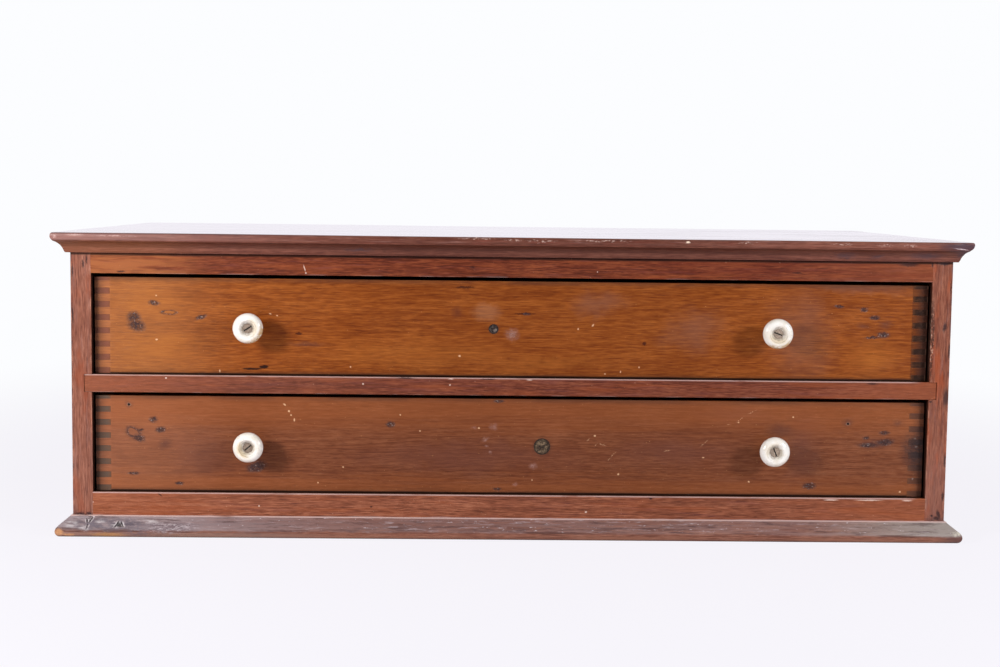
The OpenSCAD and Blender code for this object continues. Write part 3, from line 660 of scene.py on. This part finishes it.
dulled = top_wood.cloud((120, 40, 20), 179, 3, 0.6).step(0.4, 0.7) * top_wood.x.step(20, 180)
top_wood.done(coat_weight=polished * (0.95 - dulled * 0.2), coat_roughness=0.06)


# Drawers: boxes of thin boards, joined at all four corners by machine-cut fingers, whose dark ends show
# on the fronts. Bottoms and dividers are thin boards in grooves. Only the fronts are varnished, with
# the fingers in them. They are hazy in places, with dark knocks, nail holes and pale flecks.

front_tones = {"upper": ((100, 43, 9), (131, 66, 20), (160, 90, 35)),
               "lower": ((84, 40, 23), (111, 61, 37), (136, 82, 54))}
front_y = span("upper_drawer_front")[0][1]
front_haze = {
    "upper": [(210, 150, 36, 50), (246, 186, 60, 9), (62, 172, 30, 14), (130, 152, 30, 24, 20)],
    "lower": [(-30, 58, 130, 17), (120, 62, 70, 18), (212, 66, 20, 46), (-226, 60, 30, 26),
              (164, 92, 40, 12)]}
front_glow = [(-256, 136, 44, 20), (-70, 134, 90, 16), (262, 136, 30, 20), (-262, 170, 40, 20),
              (20, 127, 70, 9)]
front_dark = {
    "upper": [(-274.2, 158.4, 7, 6), (-272, 152.4, 8.8, 6, -12), (-259.6, 168.9, 6, 2.6, -5),
              (-253.4, 162.6, 1.8, 1.2), (-226, 159, 6, 2.2, 15), (237.3, 171.6, 5, 1.6),
              (255.6, 169.3, 4, 2.2), (263.7, 163.6, 5.4, 2.4), (270.4, 151, 6.4, 3.4),
              (262.4, 149.2, 8.4, 1.3, 3), (9.6, 163.7, 3.4, 1.5)],
    "lower": [(-271.3, 70.4, 6.6, 4, -14), (-260.6, 84.1, 4.4, 3), (-255.5, 76.6, 5, 3, 10),
              (-270, 76.2, 3.4, 1.6), (-275.4, 44.4, 6, 1.8), (-242, 37.3, 4.4, 1.8),
              (259.8, 75.1, 3.4, 1.6), (273.6, 78.9, 5.2, 2.4), (261.4, 69.6, 10.6, 2.3),
              (274.4, 72, 8.4, 3.6, 6), (219.1, 39.1, 7, 3.4, 3), (-9.7, 99.9, 5.6, 1.6),
              (-88.5, 82, 4.6, 3.2), (-10.4, 35, 4, 1.6), (-186, 49.9, 10, 5.4, 15)]}
front_cracks = [(-189.3, 121.7, 9, 0.8), (-180.6, 123.3, 4.2, 1.4, 3)]
front_thin = [(-155.4, 147.7, 3.4, 1.4), (95.5, 143, 2, 1.8), (8, 163.9, 11, 0.8), (-35.4, 182.6, 9, 1.3)]
front_soft = {"upper": [(271.5, 158.5, 7, 4.6), (255, 157.4, 7, 3), (-150, 140, 20, 3)],
              "lower": [(-252.4, 65.9, 8, 5.6, 30), (267.5, 71, 18, 5, 3), (283.6, 86.4, 6, 3.4),
                        (196, 80, 16, 8), (246, 86, 6.6, 4.6), (-278.4, 95, 4.4, 3.6)]}
front_loops = {"upper": [(-249, 162.2, 8, 2.1)], "lower": [(-275, 74.4, 7.6, 5, -30)]}
front_pale = {
    "upper": [(-258.1, 174.3, 0.8, 0.7), (-257.9, 142.4, 1.2, 0.9), (-38.8, 132.6, 1.2, 0.9),
              (57.9, 156, 1.6, 0.8, 50), (47.1, 153.2, 0.8, 0.9), (92, 125.6, 0.8, 0.9),
              (78.6, 122.1, 0.7, 1), (67.3, 120.5, 0.8, 0.7), (-212.4, 120, 0.7, 1.3),
              (-176, 161.9, 1.3, 0.6, -12), (-171, 160.6, 1, 0.6, -10), (-117.8, 123.9, 0.8, 0.8)],
    "lower": [(-165.6, 95.8, 1.6, 0.8, -35), (-162.4, 91.1, 1.1, 1.1), (-160.9, 88.2, 0.8, 0.8),
              (-158.6, 84.7, 0.9, 1.5), (-81.5, 89, 0.8, 0.8), (-123, 50.3, 0.9, 0.8),
              (-141.2, 38.5, 0.8, 0.8), (-67.1, 77.3, 0.8, 0.7), (-24.1, 79.9, 1.1, 0.9),
              (15.2, 41.8, 0.7, 0.8), (60.7, 74.9, 1.1, 0.9), (78.4, 46.6, 1, 1), (174.5, 41.9, 1, 0.9),
              (140.5, 59.5, 1.2, 0.6), (165.8, 85.7, 0.9, 0.7), (286.3, 35.2, 1.2, 1),
              (206, 90, 0.9, 0.8)]}
front_scores = [(54.3, 70.5, 57.4, 73.4), (59.8, 65.6, 63, 70.2), (62.4, 69.8, 70, 67.2),
                (70, 55.6, 74, 61), (72, 59, 77, 63.8), (137.4, 66.8, 145, 73.6), (110, 63.4, 117, 65),
                (163, 84.8, 171, 91.2), (171, 91.2, 181, 96), (156, 84.6, 161, 84)]
front_milk = {"upper": [(-0.9, 148.5, 7, 6.4)],
              "lower": [(-19.1, 71.9, 4, 1.6, 25), (-18.4, 66.4, 1.6, 1.2), (-15.3, 61.6, 2, 1.6),
                        (15.8, 52, 4, 3.4), (3.2, 38.4, 3, 2), (-13.6, 80.6, 4.4, 3.6),
                        (-27.7, 79.9, 3, 1.4)]}
finger_stain = [(300, 66, 18, 22)]
finger_pits = [(296.2, 75.1, 1.2, 0.8), (297.4, 69, 1.4, 0.9), (295.4, 45, 0.9, 1.2)]
nail_holes = {"upper": [(293.9, 129.4)], "lower": [(-278.2, 94.9), (246.4, 85.5)]}
for seed, drawer in enumerate(front_tones):
    (_, _, low), (front_x, _, high) = span(f"{drawer}_drawer_front")
    (side_in, _, _), (side_out, _, _) = span(f"{drawer}_drawer_right_side")
    finger_l = side_out - side_in
    shaded_from = front_x - 10
    front_wood = Timber(f"cherry of the {drawer} front", "x", (-220, low - 90), front_tones[drawer],
                        200 + seed * 17, ring=3.4, fine=0.56 - seed * 0.12, band=0.26, mottle=0.3,
                        pore=0.2)
    front_wood.blemish(front_haze[drawer], front_y, 0.45,
                       (122, 82, 68) if drawer == "upper" else (104, 62, 52), 14, 1, 2)
    # Painted light from the left lamp: the left end of the front lighter.
    front_wood.tint(front_wood.x.step(-190, -270) * 0.25,
                    (188, 130, 84) if drawer == "upper" else (172, 112, 82))
    streaks = front_wood.cloud((80, 9, 4), 212 + seed, 4, 0.65)
    if drawer == "upper":
        glowing = streaks.step(0.3, 0.6) * 0.6 + 0.4
        front_wood.blemish(front_glow, front_y, glowing * 0.35, (186, 112, 46), 12, 1, 6)
    else:
        ragged_z = front_wood.z + (streaks - 0.5) * 30
        front_wood.tint(ragged_z.step(70, 92).over(ragged_z.step(48, 36) * 0.8) * 0.4, (156, 86, 42))
    front_wood.tint(front_wood.x.step(-140, -40) * front_wood.x.step(190, 100) * 0.12, (66, 24, 8))
    # Painted shade from the rails, in patches along the top and bottom edges of the front.
    rim = front_wood.z.step(low + 3, low + 0.3).over(front_wood.z.step(high - 4.5, high - 0.3))
    front_wood.tint(rim * front_wood.cloud((50, 9, 9), 214).step(0.2, 0.6) * 0.55, (66, 44, 34))
    smears = front_wood.cloud((2.6, 2.6, 1.8), 215, 3, 0.7).step(0.4, 0.62)
    front_wood.blemish(front_milk[drawer], front_y, smears * 0.4 + 0.25,
                       (150, 126, 122) if drawer == "upper" else (160, 124, 116), 2.4, 1, 8)
    if drawer == "upper":
        front_wood.blemish([(-19.6, 164.6, 14, 9)], front_y, 0.28, (172, 124, 92), 3, 0.7, 8)
        front_wood.blemish([(-41, 164.4, 6.6, 7.4)], front_y, 0.7, (92, 44, 26), 3, 1, 9)
        front_wood.blemish(front_thin, front_y, 0.85, (58, 20, 9), 1)
        front_wood.blemish(front_cracks, front_y, 0.95, (26, 12, 9), 0.4, 0.4)
    front_wood.blemish(front_soft[drawer], front_y, streaks * 0.5 + 0.3, (82, 50, 44), 2.4, 1, 9)
    (plug_x, _, plug_z), (plug_far, _, plug_top) = span(f"{drawer}_hole_plug")
    bored = ((plug_x + plug_far) / 2, (plug_z + plug_top) / 2, (plug_far - plug_x) * 0.75,
             (plug_top - plug_z) * 0.75)
    front_wood.blemish([bored], front_y, 0.5, (70, 46, 36), 1.2, 0.6, 10)
    scratched = front_wood.spots(front_pale[drawer], front_y, 0.5, 0.7, 5)
    if drawer == "lower":
        hairs = front_wood.spots([score(*line, 0.45) for line in front_scores], front_y, 1, 0.9, 5)
        scratched = scratched.over(hairs * front_wood.cloud(1.4, 217, 3, 0.7).step(0.44, 0.56) * 0.7)
    front_wood.tint(scratched * 0.8, (222, 178, 138))
    dark = front_wood.spots(front_dark[drawer], front_y, 1.4, 0.7)
    around = front_wood.spots(front_loops[drawer], front_y, 1.2, 0.4, 6)
    inner_loops = [(x, z, long * 0.7, high * 0.6, *turn)
                   for x, z, long, high, *turn in front_loops[drawer]]
    within = front_wood.spots(inner_loops, front_y, 1.2, 0.4, 6)
    dark = dark.over(around * (1 - within) * 0.8)
    pitted = front_wood.cloud((1.6, 1.6, 1.1), 218, 3, 0.7).step(0.34, 0.6)
    front_wood.tint(dark * (pitted * 0.4 + 0.55), (56, 42, 44))
    chalk = front_wood.cloud((1.5, 1.5, 1.1), 216, 2, 0.7).step(0.6, 0.68)
    front_wood.tint(dark * chalk * 0.6, (168, 148, 140))
    front_wood.sink(dark * pitted, 0.3)
    if drawer == "upper":
        strip = front_wood.x.step(front_x - finger_l - 0.9, front_x - finger_l - 0.2)
        black = front_wood.x.step(front_x - finger_l, front_x - 1.5) * 0.35 + 0.5
        front_wood.tint(strip * front_wood.cloud((6, 6, 3), 219, 4, 0.6).step(0.1, 0.45) * black,
                        (52, 24, 16))
    else:
        front_wood.blemish(finger_stain, front_y, pitted * 0.4 + 0.55, (46, 38, 40), 3, 0.8, 7)
        front_wood.blemish(finger_pits, front_y, 0.4, (160, 144, 138), 0.8, 0.9)
    pinkish = front_wood.x.step(finger_l - front_x + 1.2, finger_l - front_x - 0.6)
    front_wood.tint(pinkish * (0.22 if drawer == "upper" else 0.1), (178, 114, 84))
    # Painted shadow of the stiles across the last 10 mm at each end of the front.
    outer = front_wood.x.size().step(shaded_from, front_x)
    front_wood.tint(outer * 0.65, (56, 32, 24))
    holes = nail_holes[drawer]
    front_wood.blemish([(x, z, 2.4, 1.9) for x, z in holes], front_y, 0.5, (170, 140, 120), 0.8, 0.9)
    pierced = front_wood.spots([(x, z, 1.15, 1.05) for x, z in holes], front_y, 0.3, 0.4)
    front_wood.tint(pierced * 0.95, (12, 8, 8))
    front_wood.sink(pierced, 0.8)
    specks = front_wood.cloud((1.3, 1.3, 1), 220 + seed, 1).step(0.76, 0.8)
    front_wood.tint(specks * 0.5, (206, 150, 96))
    # Painted shade: the lowest millimetre of the front nearly black, over the gap below.
    front_wood.tint(front_wood.z.step(low + 1.1, low + 0.5) * 0.85, (20, 11, 8))
    dress(f"{drawer}_drawer_front", front_wood.sheen(0.36), 0.15)

    box_tones = ((128, 82, 46), (166, 116, 70), (192, 146, 98))
    for hand, sign in (("left", -1), ("right", 1)):
        box_wood = Timber(f"birch of the {drawer} drawer's {hand} side", "y", (sign * 500, low - 60),
                          box_tones, 240 + seed * 13 + sign, pore=0.15)
        varnished = box_wood.y.step(front_y + 8, front_y + 3)
        box_wood.tint(varnished * 0.85, (104, 58, 34))
        finger_tone = {("upper", "left"): (124, 74, 58), ("lower", "left"): (90, 74, 64),
                       ("upper", "right"): (30, 17, 13), ("lower", "right"): (90, 57, 45)}[drawer, hand]
        worn_ends = box_wood.cloud((4, 4, 2), 245 + seed, 4, 0.65).step(0.1, 0.6)
        inner = box_wood.x.size().step(front_x - finger_l - 0.6, front_x - finger_l + 2.6) * 0.4 + 0.6
        box_wood.tint(box_wood.end_grain * varnished * inner * (worn_ends * 0.55 + 0.4), finger_tone)
        # Painted shadow of the stiles on the finger ends.
        outer = box_wood.x.size().step(shaded_from, front_x)
        box_wood.tint(outer * varnished * 0.7, (46, 28, 22))
        if (drawer, hand) == ("lower", "right"):
            box_wood.blemish(finger_stain, front_y, 0.85, (44, 36, 38), 3, 0.8, 7)
            box_wood.blemish(finger_pits, front_y, 0.45, (160, 144, 138), 0.8, 0.9)
        if (drawer, hand) == ("upper", "right"):
            worn_edge = box_wood.x.step(front_x - 1, front_x - 0.4) * varnished
            box_wood.tint(worn_edge * box_wood.cloud((4, 4, 9), 247).step(0.3, 0.5) * 0.3, (150, 112, 92))
        dress(f"{drawer}_drawer_{hand}_side", box_wood.sheen(0.5, 0.12, 0.1), 0.15)
    back_board = Timber(f"birch of the {drawer} drawer's back", "x", (400, low - 80), box_tones,
                        260 + seed * 9, pore=0.15)
    dress(f"{drawer}_drawer_back", back_board.sheen(0.55), 0.15)
    thin_wood = Timber(f"thin boards of the {drawer} drawer", "y", (30, -200 - seed * 90), box_tones,
                       280 + seed * 7, ring=6, pore=0.15)
    thin_wood.tint(thin_wood.cloud(45, 283, 4, 0.6).step(0.5, 0.75) * 0.3, (112, 84, 58))
    thin_wood.sheen(0.6)
    dress(f"{drawer}_drawer_bottom", thin_wood.material, 0.15)
    for i in range(7):
        dress(f"{drawer}_divider_{i + 1}", thin_wood.material, 0.2)


# Knobs: turned white porcelain with a dished face, glazed all over. The glaze is crazed, with a painted
# reflection of the wood warm on its lower rim and a yellow and grey tint in the dish. Each is held by
# one slotted screw through its middle.

def about_middle(finish, low, high):
    """How far right and up of a round piece's middle a place is, and how far from it in all."""
    right = finish.x - (low[0] + high[0]) / 2
    up = finish.z - (low[2] + high[2]) / 2
    return right, up, (right * right + up * up).root()


knob_iron = Finish("old iron of the knob screws")
head_y = span("upper_left_knob_screw")[0][1]
iron_rust = knob_iron.cloud(1, 313, 3, 0.6).step(0.3, 0.7)
iron = knob_iron.mix((172, 156, 140), (128, 108, 92), iron_rust)
iron = knob_iron.mix(iron, (92, 74, 62), knob_iron.x.step(1, -1) * 0.4)
# Painted shade: the bottom of each screw's slot nearly black.
in_slot = knob_iron.y.step(head_y + 0.2, head_y + 0.5)
knob_iron.done(base_color=knob_iron.mix(iron, (16, 12, 11), in_slot), metallic=0.3 - iron_rust * 0.2,
               roughness=iron_rust * 0.2 + 0.35,
               normal=knob_iron.bump(iron_rust, 0.6, 0.2 * MM))
reflection_and_dish_turns = {("upper", "left"): (-42, 0.9, 10, 0.5), ("upper", "right"): (-78, 0.8, -100, 0.6),
                 ("lower", "left"): (-120, 0.15, 205, 0.8), ("lower", "right"): (-70, 0.15, 140, 0.35)}
for (drawer, hand), (rim_turn, rim_reflection, dish_turn, dish_tint) in reflection_and_dish_turns.items():
    seed = 300 + dish_turn
    glaze = Finish(f"glazed porcelain of the {drawer} {hand} knob")
    off_x, off_z, radius = about_middle(glaze, *span(f"{drawer}_{hand}_knob"))
    craze = glaze.node("TexVoronoi", {"feature": "DISTANCE_TO_EDGE"},
                       {"Vector": glaze.moved(glaze.place, 0.4, seed), "Scale": 1})
    cracks = craze.step(0.03, 0) * glaze.cloud(5, seed).step(0.45, 0.6)
    white = glaze.mix((239, 235, 229), (229, 221, 208), glaze.cloud(6, seed + 3, 3).step(0.4, 0.7))
    white = glaze.mix(white, (176, 160, 136), cracks * 0.5)
    toward_rim, toward_dish = (off_x * math.cos(math.radians(turn)) + off_z * math.sin(math.radians(turn))
                               for turn in (rim_turn, dish_turn))
    blotchy = glaze.cloud(2.2, seed + 5, 3).step(0.3, 0.55)
    # Painted reflection: the wood's warm light on the glaze's lower rim.
    rim = radius.step(7.4, 9.6) * toward_rim.step(4, 8.5) * blotchy
    white = glaze.mix(white, (196, 158, 102), rim * rim_reflection)
    # A yellowish crescent on one side of the dish, and the dish greyer within.
    crescent = radius.step(8.4, 6.2) * radius.step(3.4, 4.4) * toward_dish.step(0, 5)
    white = glaze.mix(white, (214, 192, 150), crescent * dish_tint)
    ring_crack = (radius - 5.6 - glaze.cloud(3, seed + 6) * 1.2).size().step(0.34, 0.1)
    ring_crack = ring_crack * blotchy * toward_dish.step(-3, 3)
    white = glaze.mix(white, (128, 106, 84), ring_crack * dish_tint * 0.8)
    in_dish = radius.step(5.8, 4.2) * glaze.cloud(2, seed + 7, 3).step(0.2, 0.6)
    white = glaze.mix(white, (150, 134, 116), in_dish * 0.75)
    # Darker round the stem, next to the drawer front.
    near_stem = radius.step(7.5, 5.2) * glaze.y.step(front_y - 6, front_y - 1)
    glaze.done(base_color=glaze.mix(white, (120, 96, 74), near_stem * 0.6), specular_ior_level=0.5,
               roughness=glaze.cloud(3, seed + 9).step(0, 1) * 0.1 + 0.1, coat_weight=0.5,
               coat_roughness=0.05,
               normal=glaze.bump(glaze.cloud(4, seed + 11) - cracks * 0.2, 0.3, 0.2 * MM))
    dress(f"{drawer}_{hand}_knob", glaze.material)
    dress(f"{drawer}_{hand}_knob_screw", knob_iron.material)


# Hole plugs: each front was once bored near its middle. The holes are filled with dark putty, flush
# with the front, crumbled inside and cracked round the rim.

for drawer, core, light in (("upper", (42, 32, 30), (114, 102, 96)),
                            ("lower", (66, 50, 38), (122, 102, 80))):
    plug_low, plug_high = span(f"{drawer}_hole_plug")
    putty = Finish(f"dark putty of the {drawer} plug")
    _, _, radius = about_middle(putty, plug_low, plug_high)
    plug_r = (plug_high[0] - plug_low[0]) / 2
    crumbs = putty.cloud(3.2, 320, 4, 0.7)
    colour = putty.mix(core, light, crumbs.step(0.44, 0.62) * radius.step(plug_r, plug_r * 0.6) * 0.9)
    edge = radius + putty.cloud(2.4, 322, 3, 0.7) * 1.4
    colour = putty.mix(colour, (26, 17, 13), edge.step(plug_r - 0.4, plug_r + 0.6) * 0.65)
    cracked = (putty.cloud(4.4, 324, 3, 0.6) - 0.5).size().step(0.025, 0.006)
    putty.done(base_color=putty.mix(colour, (12, 10, 10), cracked * 0.8), roughness=0.75,
               specular_ior_level=0.25, normal=putty.bump(crumbs - cracked * 0.5, 1, 0.8 * MM))
    dress(f"{drawer}_hole_plug", putty.material, 0.3)


# Ground and light: a wide pale floor under a white studio, with a soft lamp near each end of the
# cabinet, above and before it. The camera sees the floor as nearly white, and what is glossy mirrors
# a studio that is white behind the cabinet and dim before it.

floor_mesh = bpy.data.meshes.new("floor")
far = 9
floor_mesh.from_pydata([(-far, -far, 0), (far, -far, 0), (far, far, 0), (-far, far, 0)], [],
                       [(0, 1, 2, 3)])
floor = bpy.data.objects.new("floor", floor_mesh)
bpy.context.scene.collection.objects.link(floor)
ground = Finish("pale floor")
flattened = ground.node("VectorMath", {"operation": "MULTIPLY"}, {0: ground.place, 1: (1, 0.6, 1)})
far_off = ground.length(flattened).step(350, 900)
glow = ground.node("Emission", inputs={"Color": ground.mix((250, 248, 254), (252, 253, 255), far_off)})
ground.done(base_color=tone(234, 232, 238), roughness=0.8)
seen = ground.node("LightPath", out="Is Camera Ray") * (far_off * 0.1 + 0.9)
lit = Value(ground, ground.shader.outputs[0])
ground.feed(ground.tree.nodes["Material Output"],
            {"Surface": ground.node("MixShader", inputs={0: seen, 1: lit, 2: glow})})
floor_mesh.materials.append(ground.material)

studio = bpy.data.worlds.new("white studio")
studio.use_nodes = True
bpy.context.scene.world = studio
sky = Net(studio.node_tree)
behind = sky.parts(sky.node("TexCoord", out="Generated"))[1].step(-0.3, 0.5) * 0.97 + 0.03
mirrored = sky.node("LightPath", out="Is Glossy Ray") * behind
whiteness = sky.node("LightPath", out="Is Camera Ray").over(mirrored)
sky.feed(studio.node_tree.nodes["Background"],
         {"Color": sky.mix((252, 253, 255), (250, 247, 255), mirrored),
          "Strength": whiteness * 0.76 + 0.24})


def lamp(name, place, target, width, power, colour):
    data = bpy.data.lights.new(name, "AREA")
    data.shape, data.size, data.energy, data.color = "DISK", width, power, colour
    made = bpy.data.objects.new(name, data)
    aim = (Vector(target) - Vector(place)).to_track_quat("-Z", "Y")
    made.matrix_world = Matrix.Translation(place) @ aim.to_matrix().to_4x4()
    bpy.context.scene.collection.objects.link(made)


lamp("left lamp", (-0.76, -0.77, 0.42), (-0.08, -0.16, 0.1), 0.22, 7.8, (1, 0.98, 0.96))
lamp("right lamp", (0.82, -0.75, 0.42), (0.08, -0.16, 0.1), 0.22, 6.1, (0.97, 0.98, 1))


# Camera: a little over the height of the top board and a little to the left of its middle, as the
# photograph was taken. Its place and turns were fitted to the cabinet's edges.

eye = Vector((-0.03506, -1.31689, 0.25143))
yaw, pitch, roll = -0.022, 0.088, 0.0123
level = Vector((math.cos(yaw), math.sin(yaw), 0))
ahead = Vector((-math.sin(yaw) * math.cos(pitch), math.cos(yaw) * math.cos(pitch), -math.sin(pitch)))
upright = level.cross(ahead)
right = level * math.cos(roll) + upright * math.sin(roll)
over = upright * math.cos(roll) - level * math.sin(roll)
lens = bpy.data.cameras.new("camera")
lens.sensor_width = 36
lens.lens = 57.6
lens.clip_start, lens.clip_end = 0.01, 60
camera = bpy.data.objects.new("camera", lens)
camera.matrix_world = Matrix.Translation(eye) @ Matrix((right, over, -ahead)).transposed().to_4x4()
bpy.context.scene.collection.objects.link(camera)
bpy.context.scene.camera = camera
bpy.context.scene.view_settings.view_transform = "Standard"
